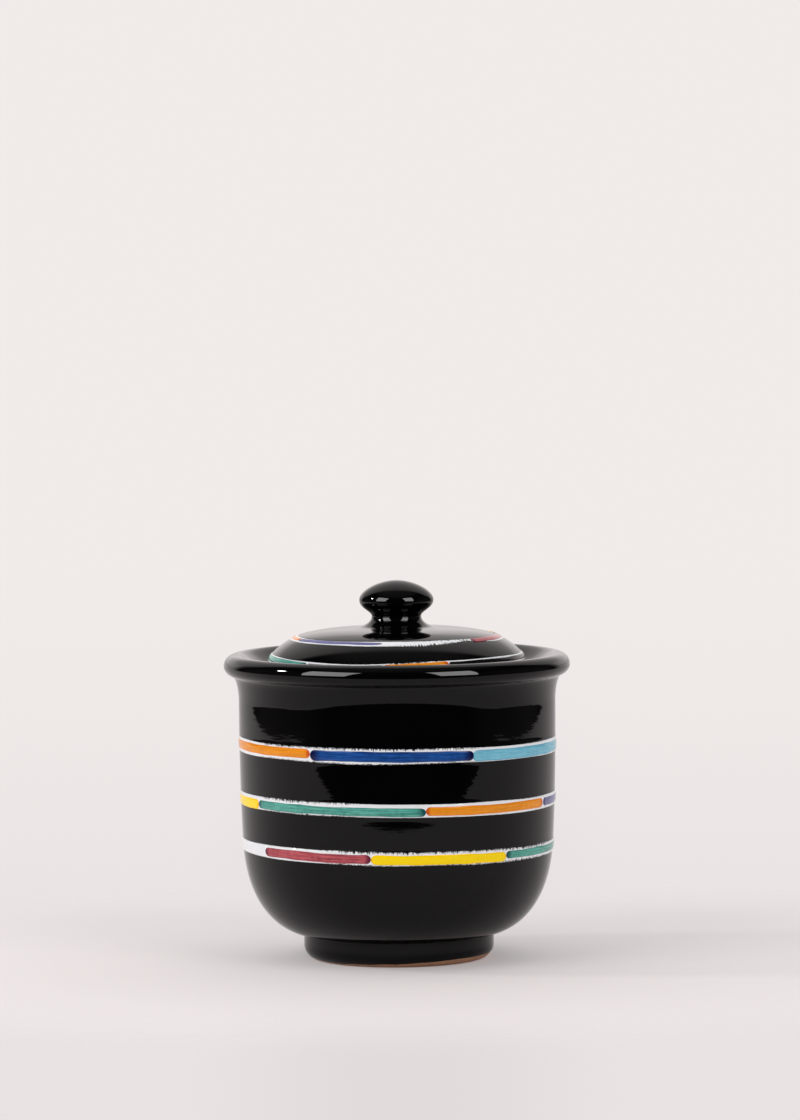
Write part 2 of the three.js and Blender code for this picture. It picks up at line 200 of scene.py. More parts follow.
# White bands. A tilt is a band's lift above its node, then how far it climbs more at an azimuth. A sag is how
# far it was let down, at which azimuth and over how wide an arc. Wear is the start and end of an arc, and how
# much is gone there from the top or foot, less than 0 where the band spread. Teeth are how many to the turn
# and how deep, along the ragged arcs where an edge is torn.
BANDS = {
    "low_band": {
        "body": "jar", "tilt": (0.3, 1.0, -90), "teeth": (1000, 1.1),
        "worn_top": (-65, 60, -0.25), "worn_foot": (-32, 28, -0.45),
        "ragged_top": [(-30, 75), (120, 200)], "ragged_foot": [(20, 70), (180, 230)],
    },
    "middle_band": {
        "body": "jar", "tilt": (0.2, 0.75, -90), "teeth": (1000, 1.0),
        "ragged_top": [(-60, -12), (90, 150), (215, 250)], "ragged_foot": [(140, 175)],
    },
    "high_band": {
        "body": "jar", "tilt": (0.1, 0.6, -90), "teeth": (1000, 0.85), "worn_foot": (-42, 22, -0.6),
        "ragged_top": [(-60, 32), (110, 190)], "ragged_foot": [(240, 275)],
    },
    "lid_edge_band": {
        "body": "lid", "sag": (2.1, -27, 40), "teeth": (500, 0.6),
        "ragged_top": [(-8, 22), (150, 210)], "ragged_foot": [],
    },
    "lid_crown_band": {
        "body": "lid", "worn_top": (-85, -5, 0.5), "worn_foot": (16, 66, 2.5), "teeth": (420, 1.3),
        "ragged_top": [(16, 52), (120, 160)], "ragged_foot": [(-2, 50), (150, 190)],
    },
}

# A band's two edges: which way is outwards, how far each sways and frays, and its seeds for sway, fray and
# teeth. Then how many sways and frays there are to the turn, and how far apart the seeds of two bands are.
BAND_EDGES = {
    "top": (1, 0.2, 0.04, (5, 1, 2)),
    "foot": (-1, 0.15, 0.03, (6, 3, 4)),
}
EDGE_SWAYS = 14
EDGE_FRAYS = 300
BAND_SEED_STEP = 10.0

# Teeth: how far they stand out from the edge, how much is taken off them, the most they cut in, and the seed
# added for finer ones. Then how many degrees a ragged or worn arc takes to fade in.
TOOTH_RISE = 0.4
TOOTH_CUT = 0.1
TOOTH_LIMIT = 1.2
FINE_TOOTH_SEED = 0.5
RAGGED_FADE = 8.0
WEAR_FADE = 24.0

# Enamel colours: the stroke, the pool at its ends and the lighter streaks, as linear red, green and blue,
# then how far a pool reaches along the stroke, and how strongly the darker brush lines show
ENAMELS = {
    "orange": ((0.80, 0.25, 0.008), (0.60, 0.08, 0.008), (0.88, 0.32, 0.02), 3.4, 0.3),
    "blue": ((0.010, 0.050, 0.215), (0.004, 0.005, 0.045), (0.020, 0.105, 0.385), 7.0, 0.6),
    "sky": ((0.155, 0.46, 0.61), (0.07, 0.28, 0.45), (0.225, 0.55, 0.68), 1.6, 0.3),
    "yellow": ((0.97, 0.65, 0.0003), (0.86, 0.42, 0.001), (0.98, 0.71, 0.002), 1.5, 0.03),
    "green": ((0.060, 0.315, 0.25), (0.008, 0.075, 0.08), (0.155, 0.48, 0.40), 5.0, 0.7),
    "crimson": ((0.40, 0.055, 0.075), (0.13, 0.012, 0.038), (0.56, 0.13, 0.145), 4.0, 0.75),
    "violet": ((0.108, 0.106, 0.27), (0.04, 0.034, 0.10), (0.19, 0.19, 0.39), 3.5, 0.4),
    "black": ((0.003, 0.003, 0.0035), (0.002, 0.002, 0.002), (0.006, 0.006, 0.007), 2.0, 0.0),
}

# How far the brush ran past each end of a stroke's node, how much its width wavers and its middle sways and
# how often to the turn, how long its blunt ends are and by how much that differs, how full its tip is, and
# how flat it lies across the brush
STROKE_SPREAD = 0.3
STROKE_WAVER = 0.05
STROKE_WAVERS = 60
STROKE_SWAY = 0.14
STROKE_SWAYS = 20
STROKE_BLUNT = 1.15
STROKE_BLUNT_RANGE = 0.35
STROKE_TIP = 0.12
STROKE_FLATNESS = 3

# Seeds of the strokes: how many there are, what is added for waver and sway, and the two that set how blunt a
# stroke's start and end are
STROKE_SEEDS = 97
WAVER_SEED = 0.6
SWAY_SEED = 0.3
TIP_SEEDS = ((1.5, 0.5), (4.5, 0.5))

# Habits of single strokes: how far one dropped below its node, how much half its width grew, how long it
# tapers away at its end, and how many degrees it reaches past its node at its start and end
STROKE_HABITS = {
    "high_band_stroke_1_orange": {"drop": -0.2, "grow": 0.1},
    "high_band_stroke_2_blue": {"drop": 0.3, "grow": 0.4},
    "high_band_stroke_3_sky": {"drop": 0.5, "grow": 0.5, "reach": (0.6, 0)},
    "middle_band_stroke_1_yellow": {"drop": 0.8, "grow": 0.5},
    "middle_band_stroke_2_green": {"drop": 0.6},
    "middle_band_stroke_3_orange": {"drop": 0.15, "grow": 0.2},
    "low_band_stroke_1_crimson": {"drop": 0.15, "grow": 0.15},
    "low_band_stroke_2_yellow": {"drop": 0.35, "grow": 0.3},
    "low_band_stroke_3_green": {"drop": -0.2, "grow": -0.25},
    "lid_edge_band_stroke_2_black": {"drop": 0.3},
    "lid_edge_band_stroke_4_black": {"drop": 0.2, "grow": -0.2, "reach": (0, 13)},
    "lid_edge_band_stroke_5_blue": {"reach": (-13, 0)},
    "lid_crown_band_stroke_1_orange": {"drop": 0.9, "grow": -0.4},
    "lid_crown_band_stroke_2_violet": {"drop": 1.0, "grow": -0.25, "taper": 9.0},
    "lid_crown_band_stroke_3_crimson": {"drop": 0.4, "grow": 0.3},
}

# Gloss of every glaze: how strongly it mirrors what it faces, where 0.5 is plain glass, the rings left by the
# wheel, the orange peel, the pinholes and the clouds in its roughness. Scales are to the metre, and depths
# are in metres.
GLOSS = 0.19
GLAZE_IOR = 1.5
RING_SCALE = (90.0, 90.0, 480.0)
RING_DEPTH = 1e-5
PEEL_SCALE = 230
PEEL_DEPTH = 8e-6
PINHOLE_SCALE = 75.0
PINHOLE_SIZE = 0.03
PINHOLE_DEPTH = 4e-5
ROUGHNESS_SCALE = 45
ROUGHNESS_EDGE = (0.3, 0.7)

# Black glaze
BLACK_DEEP = (0.0004, 0.0004, 0.0005)
BLACK_PALE = (0.0012, 0.0011, 0.0012)
BLACK_SCALE = 30
BLACK_ROUGHNESS = (0.02, 0.045)

# White glaze, and the black specks in its torn edges
WHITE_DULL = (0.74, 0.75, 0.78)
WHITE_CLEAN = (0.84, 0.84, 0.85)
WHITE_SCALE = 160
WHITE_THIN = (0.60, 0.62, 0.66)
WHITE_THIN_WIDTH = 0.4
WHITE_ROUGHNESS = (0.07, 0.14)
SPECK_COLOUR = (0.004, 0.004, 0.0045)
SPECK_SCALE = 2000
SPECK_REACH = 1.2
SPECK_LIMITS = (0.42, 0.74)
SPECK_SOFTNESS = 0.02

# Enamel: how streaks and lines stretch along a stroke and across it, the blots among them, the pooled rim
# along the stroke, and the pools at its ends, which waver about the middle of a noise
STREAK_STRETCH = (0.05, 2.6)
STREAK_SCALE = 1.6
STREAK_EDGE = (0.32, 0.70)
LINE_STRETCH = (0.03, 4.0)
LINE_SCALE = 1.0
LINE_EDGE = (0.44, 0.60)
LINE_DARKNESS = 0.5
BLOT_SCALE = 380
BLOT_SHARE = 0.25
RIM_EDGE = (0.72, 1.0)
RIM_POOL = 0.45
POOL_FULL = 0.2
POOL_WAVER = 2.0
POOL_WAVER_SCALE = 300
NOISE_MIDDLE = 0.5
ENAMEL_ROUGHNESS = (0.05, 0.12)

# Bare earthenware
CLAY_DARK = (0.30, 0.14, 0.075)
CLAY_PALE = (0.47, 0.24, 0.135)
CLAY_SCALE = 90
FLECK_COLOUR = (0.20, 0.085, 0.045)
FLECK_SCALE = 1300
FLECK_EDGE = (0.62, 0.72)
CLAY_GRAIN_SCALE = 2200
CLAY_GRAIN_DEPTH = 6e-5
CLAY_ROUGHNESS = 0.82

# The sheet that the jar stands on, in metres: its outline, its colour, where it fades out to the camera, how
# much it shines, and where its middle, darkened with painted shade of the jar, ends
SHEET_FRONT = -0.49
SHEET_BACK = 1.8
SHEET_SIDE = 1.25
SHEET_CORNER = 0.34
SHEET_CORNER_STEPS = 12
SHEET_COLOUR = (0.84, 0.785, 0.78)
SHEET_FADE = (0.22, 0.42)
SHEET_FADE_SHARE = (0.85, 1.15, 1.0)
SHEET_SHINE = 0.25
SHEET_PAINTED_SHADE_SPAN = (0.02, 0.11)

# The world, by parts of a direction: the floor, darker in its middle with painted shade of the jar, and the
# backdrop that the camera sees, then what reflections see, which is the backdrop's bowed edge and glow and
# the dark room's sides and ceiling, and then the fill
FLOOR_MIDDLE_PAINTED_SHADE = (0.755, 0.711, 0.711)
FLOOR_SIDES = (0.81, 0.763, 0.763)
FLOOR_PAINTED_SHADE_SPAN = (0.006, 0.04)
HORIZON = (-0.14, -0.06)
BACKDROP = (0.875, 0.83, 0.815)
BACKDROP_BOW = 0.7
BACKDROP_EDGE = (0.22, 0.40)
BACKDROP_SIDES = (0.80, 0.62)
BACKDROP_GLOW = (1.20, 1.13, 1.11)
BACKDROP_GLOW_START = (0.05, 0.14)
BACKDROP_GLOW_END = (0.38, 0.27)
ROOM = (0.02, 0.02, 0.025)
ROOM_SIDES = (0.11, 0.10, 0.095)
ROOM_SIDES_EDGE = (0.75, 0.97)
ROOM_TOP = (0.20, 0.195, 0.19)
ROOM_TOP_EDGE = (0.72, 0.97)
AMBIENT_FRONT = (0.40, 0.40, 0.40)
AMBIENT_BACK = (0.98, 0.98, 0.98)
AMBIENT_EDGE = (-0.7, 0.7)

# Lamps, each with a card that stands for it in reflections: where it stands, the size of its face, its power
# in watts and how brightly its card glows. All face one point of the jar.
LIGHT_AIM = (0, 0, 0.15)
LIGHTS = {
    "left_softbox": {
        "azimuth": -49.7, "elevation": 27, "distance": 3.2,
        "width": 1.86, "height": 2.34, "watts": 35.5, "glow": 12.0,
    },
    "right_softbox": {
        "azimuth": 41.6, "elevation": 27, "distance": 3.2,
        "width": 1.57, "height": 2.34, "watts": 28, "glow": 12.0,
    },
    "left_key": {
        "azimuth": -89, "elevation": 29, "distance": 2.4,
        "width": 0.26, "height": 0.15, "watts": 9.5, "glow": 260,
    },
}


# A point of a half-section: distance from the axis, and height
def at(radius, height):
    return np.array([radius, height], float)


# A step of a given length along a slope in degrees: 0 is outwards and 90 is upwards
def step(length, slope):
    return length * np.array([math.cos(math.radians(slope)), math.sin(math.radians(slope))])


def bezier(start, start_pull, end_pull, end, steps):
    t = np.linspace(0, 1, steps + 1)[:, None]
    near, far = start + start_pull, end + end_pull
    return (1 - t) ** 3 * start + 3 * (1 - t) ** 2 * t * near + 3 * (1 - t) * t ** 2 * far + t ** 3 * end


def arc(centre, width, height, start, end, steps):
    angle = np.radians(np.linspace(start, end, steps + 1))
    return np.column_stack([centre[0] + width * np.cos(angle), centre[1] + height * np.sin(angle)])


# A corner of a section, rounded off
def eased(before, corner, after, radius):
    towards = (before - corner) / np.linalg.norm(before - corner)
    away = (after - corner) / np.linalg.norm(after - corner)
    pull = radius - EASE_INSET * radius
    start, end = corner + radius * towards, corner + radius * away
    return bezier(start, -towards * pull, -away * pull, end, EASE_STEPS)


# Joins stretches of a section, dropping points that repeat the one before
def joined(*stretches):
    points = np.vstack([np.atleast_2d(s) for s in stretches])
    gaps = np.linalg.norm(np.diff(points, axis=0), axis=1)
    return points[np.concatenate([[True], gaps > POINT_GAP])]


# A curve along the outside of a turned piece: points and outward normals by distance along it
class Side:
    def __init__(self, points):
        lengths = np.linalg.norm(np.diff(points, axis=0), axis=1)
        self.points = points
        self.along = np.concatenate([[0], np.cumsum(lengths)])
        slopes = np.gradient(points, self.along, axis=0)
        normals = np.column_stack([slopes[:, 1], -slopes[:, 0]])
        self.normals = normals / np.linalg.norm(normals, axis=1)[:, None]

    def at_height(self, height):
        return np.interp(height, self.points[:, 1], self.along)

    def lifted(self, along, lift):
        point = [np.interp(along, self.along, self.points[:, k]) for k in (0, 1)]
        normal = [np.interp(along, self.along, self.normals[:, k]) for k in (0, 1)]
        return np.stack([point[k] + lift * normal[k] for k in (0, 1)], axis=-1)

    # Where a node starts and ends, by its lowest and highest corners
    def node_span(self, name):
        return [self.at_height(corner.z / MM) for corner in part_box(name)]


# Points of a half-section at azimuths, in metres
def placed(points, azimuths):
    angle = np.radians(azimuths)
    radius, height = points[..., 0] * MM, points[..., 1] * MM
    return np.stack([radius * np.sin(angle), -radius * np.cos(angle), height], axis=-1)


# Azimuths of a number of columns, once round
def round_azimuths(columns):
    return np.arange(columns) * 360 / columns


def add_object(name, data):
    piece = bpy.data.objects.new(name, data)
    bpy.context.scene.collection.objects.link(piece)
    return piece


# A mesh object from points and faces, smooth apart from its creases
def mesh_piece(name, points, faces, material):
    mesh = bpy.data.meshes.new(name)
    mesh.from_pydata([tuple(p) for p in points], [], faces)
    mesh.update()
    mesh.shade_smooth()
    mesh.set_sharp_from_angle(angle=math.radians(CREASE_ANGLE))
    mesh.materials.append(material)
    return add_object(name, mesh)


# Faces between rows of a grid. A row of one point is a pole. A ring joins its last column to its first, and a
# closed grid joins its last row to its first.
def grid_faces(rows, ring, closed):
    faces = []
    pairs = list(zip(rows, rows[1:]))
    if closed:
        pairs.append((rows[-1], rows[0]))
    for low, high in pairs:
        count = max(len(low), len(high))
        for i in range(count if ring else count - 1):
            j = (i + 1) % count
            if len(low) == 1:
                faces.append((low[0], high[j], high[i]))
            elif len(high) == 1:
                faces.append((low[i], low[j], high[0]))
            else:
                faces.append((low[i], low[j], high[j], high[i]))
    return faces


# A turned piece from rows of section points. A row is one point all round, or one point for each column.
def turned(name, section, material):
    azimuths = round_azimuths(COLUMNS)
    points, rows = [], []
    for row in section:
        ring = np.broadcast_to(row, (COLUMNS, 2)) if np.ndim(row) == 1 else row
        if np.all(ring[:, 0] < AXIS_REACH):
            rows.append([len(points)])
            points.append(placed(ring[:1], azimuths[:1])[0])
        else:
            rows.append(list(range(len(points), len(points) + COLUMNS)))
            points.extend(placed(ring, azimuths))
    return mesh_piece(name, points, grid_faces(rows, ring=True, closed=False), material)


# Smooth random wave round the piece, repeating every turn, from about -1 to 1
def wave(azimuths, waves, seed):
    angle = np.radians(azimuths)
    size = waves / (2 * math.pi)
    return np.array([
        2 * noise.noise(Vector((size * math.cos(a), size * math.sin(a), seed))) for a in angle
    ])


# From 0 to 1 inside arcs of azimuth, with ends that fade over some degrees
def within_arcs(azimuths, arcs, fade):
    inside = np.zeros(len(azimuths))
    for start, end in arcs:
        from_middle = np.abs((azimuths - (start + end) / 2 + 180) % 360 - 180)
        inside = np.maximum(inside, np.clip(((end - start) / 2 - from_middle) / fade, 0, 1))
    return inside


# Node of a shader tree, with sockets linked or set
def add_node(tree, kind, inputs=None, **settings):
    node = tree.nodes.new(kind)
    for key, value in settings.items():
        setattr(node, key, value)
    for key, value in (inputs or {}).items():
        if isinstance(value, bpy.types.NodeSocket):
            tree.links.new(value, node.inputs[key])
        else:
            node.inputs[key].default_value = value
    return node


def maths(tree, operation, a, b=0.0):
    return add_node(tree, "ShaderNodeMath", {0: a, 1: b}, operation=operation).outputs[0]


def ramp(tree, value, start, end, low=0.0, high=1.0):
    inputs = {"Value": value, "From Min": start, "From Max": end, "To Min": low, "To Max": high}
    return add_node(tree, "ShaderNodeMapRange", inputs, interpolation_type="SMOOTHSTEP").outputs[0]


def mixed(tree, factor, a, b):
    inputs = {0: factor, 6: a, 7: b}
    return add_node(tree, "ShaderNodeMix", inputs, data_type="RGBA", clamp_factor=True).outputs[2]


def grain(tree, vector, scale, detail=2.0):
    inputs = {"Vector": vector, "Scale": scale, "Detail": detail}
    return add_node(tree, "ShaderNodeTexNoise", inputs).outputs[0]


def bump(tree, height, distance, normal=None):
    inputs = {"Height": height, "Distance": distance, "Strength": 1.0}
    if normal is not None:
        inputs["Normal"] = normal
    return add_node(tree, "ShaderNodeBump", inputs).outputs[0]


def object_space(tree):
    return add_node(tree, "ShaderNodeTexCoord").outputs["Object"]


def attribute(tree, name):
    vector = add_node(tree, "ShaderNodeAttribute", attribute_name=name).outputs["Vector"]
    return add_node(tree, "ShaderNodeSeparateXYZ", {0: vector}).outputs


def new_material(name):
    material = bpy.data.materials.new(name)
    material.use_nodes = True
    return material, material.node_tree, material.node_tree.nodes["Principled BSDF"]


def rgba(colour):
    return (*colour, 1.0)


# Gloss of the fired glaze: fine rings from the wheel, faint orange peel and a few pinholes
def glaze_gloss(tree, shader, roughness):
    space = object_space(tree)
    ringed = add_node(tree, "ShaderNodeMapping", {"Vector": space, "Scale": RING_SCALE}).outputs[0]
    rings = bump(tree, grain(tree, ringed, 1.0), RING_DEPTH)
    peel = bump(tree, grain(tree, space, PEEL_SCALE), PEEL_DEPTH, rings)
    cells = add_node(tree, "ShaderNodeTexVoronoi", {"Vector": space, "Scale": PINHOLE_SCALE})
    pit = ramp(tree, cells.outputs["Distance"], 0.0, PINHOLE_SIZE)
    normal = bump(tree, pit, PINHOLE_DEPTH, peel)
    tree.links.new(normal, shader.inputs["Normal"])
    cloud = grain(tree, space, ROUGHNESS_SCALE, detail=4)
    tree.links.new(ramp(tree, cloud, *ROUGHNESS_EDGE, *roughness), shader.inputs["Roughness"])
    shader.inputs["IOR"].default_value = GLAZE_IOR
    shader.inputs["Specular IOR Level"].default_value = GLOSS


def black_glaze():
    material, tree, shader = new_material("black_glaze")
    cloud = grain(tree, object_space(tree), BLACK_SCALE, detail=4)
    colour = mixed(tree, cloud, rgba(BLACK_DEEP), rgba(BLACK_PALE))
    tree.links.new(colour, shader.inputs["Base Color"])
    glaze_gloss(tree, shader, BLACK_ROUGHNESS)
    return material


# White glaze: thin and bluish at its edges, and broken into black specks where the edge is ragged
def white_glaze():
    material, tree, shader = new_material("white_glaze")
    from_top, from_foot, ragged = attribute(tree, "band")
    space = object_space(tree)
    nearest = maths(tree, "MINIMUM", from_top, from_foot)
    thin = ramp(tree, nearest, 0.0, WHITE_THIN_WIDTH)
    body = mixed(tree, grain(tree, space, WHITE_SCALE, detail=4), rgba(WHITE_DULL), rgba(WHITE_CLEAN))
    edge = mixed(tree, thin, rgba(WHITE_THIN), body)
    speck = grain(tree, space, SPECK_SCALE, detail=1)
    limit = ramp(tree, nearest, 0.0, SPECK_REACH, *SPECK_LIMITS)
    black = ramp(tree, maths(tree, "SUBTRACT", speck, limit), 0.0, SPECK_SOFTNESS)
    black = maths(tree, "MULTIPLY", black, ragged)
    colour = mixed(tree, black, edge, rgba(SPECK_COLOUR))
    tree.links.new(colour, shader.inputs["Base Color"])
    glaze_gloss(tree, shader, WHITE_ROUGHNESS)
    return material


# A place on a stroke for its streaks or lines, stretched along the brush and across it
def stroke_place(tree, from_start, across, stretch):
    return add_node(tree, "ShaderNodeCombineXYZ", {
        0: maths(tree, "MULTIPLY", from_start, stretch[0]),
        1: maths(tree, "MULTIPLY", across, stretch[1]),
    }).outputs[0]


# Enamel: light streaks and dark lines along the stroke, a pooled rim, and pools at its ends
def enamel(name):
    base, pool, light, pool_length, line_strength = ENAMELS[name]
    material, tree, shader = new_material(f"enamel_{name}")
    from_start, from_end, across = attribute(tree, "stroke")
    space = object_space(tree)
    streak_place = stroke_place(tree, from_start, across, STREAK_STRETCH)
    streak = ramp(tree, grain(tree, streak_place, STREAK_SCALE, detail=4), *STREAK_EDGE)
    lines = grain(tree, stroke_place(tree, from_start, across, LINE_STRETCH), LINE_SCALE)
    blots = maths(tree, "SUBTRACT", grain(tree, space, BLOT_SCALE, detail=4), lines)
    blots = maths(tree, "MULTIPLY", blots, BLOT_SHARE)
    lined = ramp(tree, maths(tree, "ADD", lines, blots), *LINE_EDGE)
    colour = mixed(tree, streak, rgba(base), rgba(light))
    dark = tuple(LINE_DARKNESS * c for c in base)
    colour = mixed(tree, maths(tree, "MULTIPLY", lined, line_strength), colour, rgba(dark))
    rim = ramp(tree, maths(tree, "ABSOLUTE", across), *RIM_EDGE, 0.0, RIM_POOL)
    colour = mixed(tree, rim, colour, rgba(pool))
    waver = maths(tree, "SUBTRACT", grain(tree, space, POOL_WAVER_SCALE), NOISE_MIDDLE)
    waver = maths(tree, "MULTIPLY", waver, POOL_WAVER)
    from_tip = maths(tree, "ADD", maths(tree, "MINIMUM", from_start, from_end), waver)
    pooled = ramp(tree, from_tip, POOL_FULL * pool_length, pool_length, 1.0, 0.0)
    colour = mixed(tree, pooled, colour, rgba(pool))
    tree.links.new(colour, shader.inputs["Base Color"])
    glaze_gloss(tree, shader, ENAMEL_ROUGHNESS)
    return material


# Bare earthenware: warm clay with fine grain and darker firing marks
def bare_terracotta():
    material, tree, shader = new_material("bare_terracotta")
    space = object_space(tree)
    colour = mixed(tree, grain(tree, space, CLAY_SCALE, detail=5), rgba(CLAY_DARK), rgba(CLAY_PALE))
    fleck = ramp(tree, grain(tree, space, FLECK_SCALE), *FLECK_EDGE)
    colour = mixed(tree, fleck, colour, rgba(FLECK_COLOUR))
    tree.links.new(colour, shader.inputs["Base Color"])
    relief = bump(tree, grain(tree, space, CLAY_GRAIN_SCALE, detail=4), CLAY_GRAIN_DEPTH)
    tree.links.new(relief, shader.inputs["Normal"])
    shader.inputs["Roughness"].default_value = CLAY_ROUGHNESS
    return material


MATERIALS = {
    "black_glaze": black_glaze(),
    "white_glaze": white_glaze(),
    "bare_terracotta": bare_terracotta(),
    **{f"enamel_{name}": enamel(name) for name in ENAMELS},
}


# A finished piece: rides on its body and stands for its nodes, which it hides. The slot is not used.
def finish_piece(piece, body, slot, *nodes):
    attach(piece, body)
    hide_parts(*nodes)


# The foot's rounded edge, pulled in by an inset, between two angles: -90 is its contact and 0 is its side
def foot_edge(inset, start, end, steps):
    contact = at(FOOT_RADIUS - FOOT_EDGE_WIDTH, FOOT_EDGE_HEIGHT)
    return arc(contact, FOOT_EDGE_WIDTH - inset, FOOT_EDGE_HEIGHT, start, end, steps)


# One row of section points for each step along the foot's edge, where each column has its own start and end
def edge_rows(starts, ends, inset, steps):
    columns = [foot_edge(inset, start, end, steps) for start, end in zip(starts, ends)]
    return list(np.stack(columns, axis=1))


# Where the glaze ends above the bare foot, as an angle round the foot's rounded edge for each column
def glaze_line_angles():
    azimuths = round_azimuths(COLUMNS)
    height = GLAZE_LINE + GLAZE_LINE_SWAY * np.cos(np.radians(azimuths - GLAZE_LINE_SWAY_AZIMUTH))
    for size, count, seed in GLAZE_LINE_WAVES:
        height += size * wave(azimuths, count, seed)
    height = np.clip(height, GLAZE_LINE_LOWEST, FOOT_EDGE_HEIGHT)
    return np.degrees(np.arcsin(height / FOOT_EDGE_HEIGHT - 1))


# The jar's side with the glaze swelling gently under each band
def swollen(side):
    fullness = np.zeros(len(side))
    for name in [n for n, band in BANDS.items() if band["body"] == "jar"]:
        low, high = (corner.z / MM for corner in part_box(name))
        beyond = np.maximum(low - side[:, 1], side[:, 1] - high)
        fullness = np.maximum(fullness, np.clip(1 - beyond / SWELL_FADE, 0, 1))
    lift = BAND_SWELL * fullness ** 2 * (3 - 2 * fullness)
    return side + np.column_stack([lift, np.zeros(len(side))])


# The rolled rim's upper and outer side, from its undercut to an angle
def rim_roll(end, steps):
    centre = at(ROLL_CENTRE_RADIUS, ROLL_CENTRE_HEIGHT)
    return arc(centre, ROLL_WIDTH, ROLL_HEIGHT, -ROLL_UNDERCUT, end, steps)


def jar_side():
    heel = at(FOOT_RADIUS, FOOT_HEIGHT)
    bowl_top = at(BODY_RADIUS - BODY_TAPER, BOWL_TOP)
    wall_top = at(BODY_RADIUS, WALL_TOP)
    pull = WALL_HEIGHT / 3
    roll_foot = rim_roll(0, steps=1)[0]
    side_pull = step(BOWL_SIDE_PULL, -90 - WALL_LEAN)
    return swollen(joined(
        bezier(heel, at(BOWL_HEEL_PULL, 0), side_pull, bowl_top, steps=90),
        bezier(bowl_top, step(pull, 90 - WALL_LEAN), at(0, -pull), wall_top, steps=110),
        bezier(wall_top, at(0, FLARE_WALL_PULL), at(-FLARE_ROLL_PULL, 0), roll_foot, steps=24),
    ))


def rim_section():
    roll = rim_roll(90, steps=31)
    ledge_end = at(GALLERY_RADIUS, LEDGE_LEVEL)
    ledge_pull = step(DISH_LEDGE_PULL, DISH_LEDGE_SLOPE)
    dish = bezier(roll[-1], at(-DISH_CREST_PULL, 0), ledge_pull, ledge_end, steps=18)
    underside = LEDGE_LEVEL - LEDGE_THICKNESS
    inner_wall = at(BODY_RADIUS - WALL_THICKNESS, WALL_TOP)
    root_start = at(inner_wall[0] - LEDGE_ROOT_WIDTH, underside)
    root = bezier(root_start, at(LEDGE_ROOT_PULL, 0), at(0, LEDGE_ROOT_PULL), inner_wall, steps=12)
    lip_top = at(MOUTH_RADIUS, LEDGE_LEVEL)
    lip_foot = at(MOUTH_RADIUS, underside)
    return joined(
        roll, dish,
        eased(ledge_end, lip_top, lip_foot, LEDGE_EASE),
        eased(lip_top, lip_foot, root_start, LEDGE_EASE),
        root,
    )


def inside_section():
    floor_height = FOOT_RECESS_DEPTH + FLOOR_THICKNESS
    wall_foot = at(BODY_RADIUS - BODY_TAPER - WALL_THICKNESS, BOWL_TOP)
    wall_pull = step(INSIDE_WALL_PULL, -90 - WALL_LEAN)
    floor_edge = at(FLOOR_RADIUS, floor_height)
    bowl = bezier(wall_foot, wall_pull, at(FLOOR_PULL, 0), floor_edge, steps=30)
    return joined(bowl, at(FLOOR_RING, floor_height), at(0, floor_height))


# Bare foot: recess, contact ring and rounded edge, up to just under the glaze
def make_foot(line):
    contact = FOOT_RADIUS - FOOT_EDGE_WIDTH
    recess = contact - FOOT_CONTACT_WIDTH
    recess_middle = at(0, FOOT_RECESS_DEPTH)
    recess_top = at(recess - FOOT_RECESS_TAPER, FOOT_RECESS_DEPTH)
    ring_inside = at(recess, 0)
    under = joined(
        recess_middle, at(RECESS_RING, FOOT_RECESS_DEPTH),
        eased(recess_middle, recess_top, ring_inside, FOOT_RECESS_EASE),
        eased(recess_top, ring_inside, at(contact, 0), FOOT_RING_EASE),
    )
    edge = foot_edge(GLAZE_THICKNESS, -90, STRIP_START, steps=4)
    strip_ends = np.maximum(line, STRIP_START + STRIP_LEAST)
    strip = edge_rows(np.full(COLUMNS, STRIP_START), strip_ends, GLAZE_THICKNESS, steps=6)
    section = [*under, *edge, *strip, *np.array(CORE_SECTION)[::-1]]
    piece = turned("foot_bare_clay", section, MATERIALS["bare_terracotta"])
    finish_piece(piece, "jar", "bare_terracotta", "jar_body")


# Glazed jar: the glaze's rounded lip above the foot, the outside, the rim, the gallery and the inside
def make_jar(line):
    lip = []
    for turn in np.radians(LIP_TURNS):
        inset = GLAZE_THICKNESS * (1 - math.sin(turn))
        start = line + LIP_CLIMB * (1 - math.cos(turn))
        lip.extend(edge_rows(start, start, inset, steps=0))
    edge = edge_rows(line + LIP_CLIMB, np.zeros(COLUMNS), 0.0, steps=14)
    side = jar_side()
    foot_side = at(FOOT_RADIUS, FOOT_EDGE_HEIGHT)
    corner = eased(foot_side, side[0], side[0] + at(BOWL_HEEL_PULL, 0), BOWL_HEEL_EASE)
    clear = side[side[:, 0] > corner[-1, 0] + HEEL_CLEARANCE]
    outside = joined(foot_side + at(0, HEEL_LEAD), corner, clear)
    section = [*np.array(CORE_SECTION), *lip, *edge, *joined(outside, rim_section(), inside_section())]
    piece = turned("jar_glazed_body", section, MATERIALS["black_glaze"])
    finish_piece(piece, "jar", "black_glaze", "jar_body")


def lid_dome():
    edge_top = at(LID_RADIUS, LID_EDGE_HEIGHT)
    crown_edge = edge_top + at(-SHOULDER_WIDTH, SHOULDER_RISE)
    stub_foot = at(KNOB_NECK_RADIUS + STUB_FILLET_WIDTH, STUB_FOOT_HEIGHT)
    edge_pull = step(LID_EDGE_PULL, 90 + LID_EDGE_LEAN)
    shoulder_pull = step(SHOULDER_PULL, -CROWN_SLOPE)
    crown_pull = step(CROWN_PULL, 180 - CROWN_SLOPE)
    stub_pull = step(CROWN_STUB_PULL, -STUB_FILLET_SLOPE)
    return joined(
        bezier(edge_top, edge_pull, shoulder_pull, crown_edge, steps=36),
        bezier(crown_edge, crown_pull, stub_pull, stub_foot, steps=24),
    )


# A section of the lid at its place on the jar
def raised(section):
    return section + at(0, LID_LEVEL)


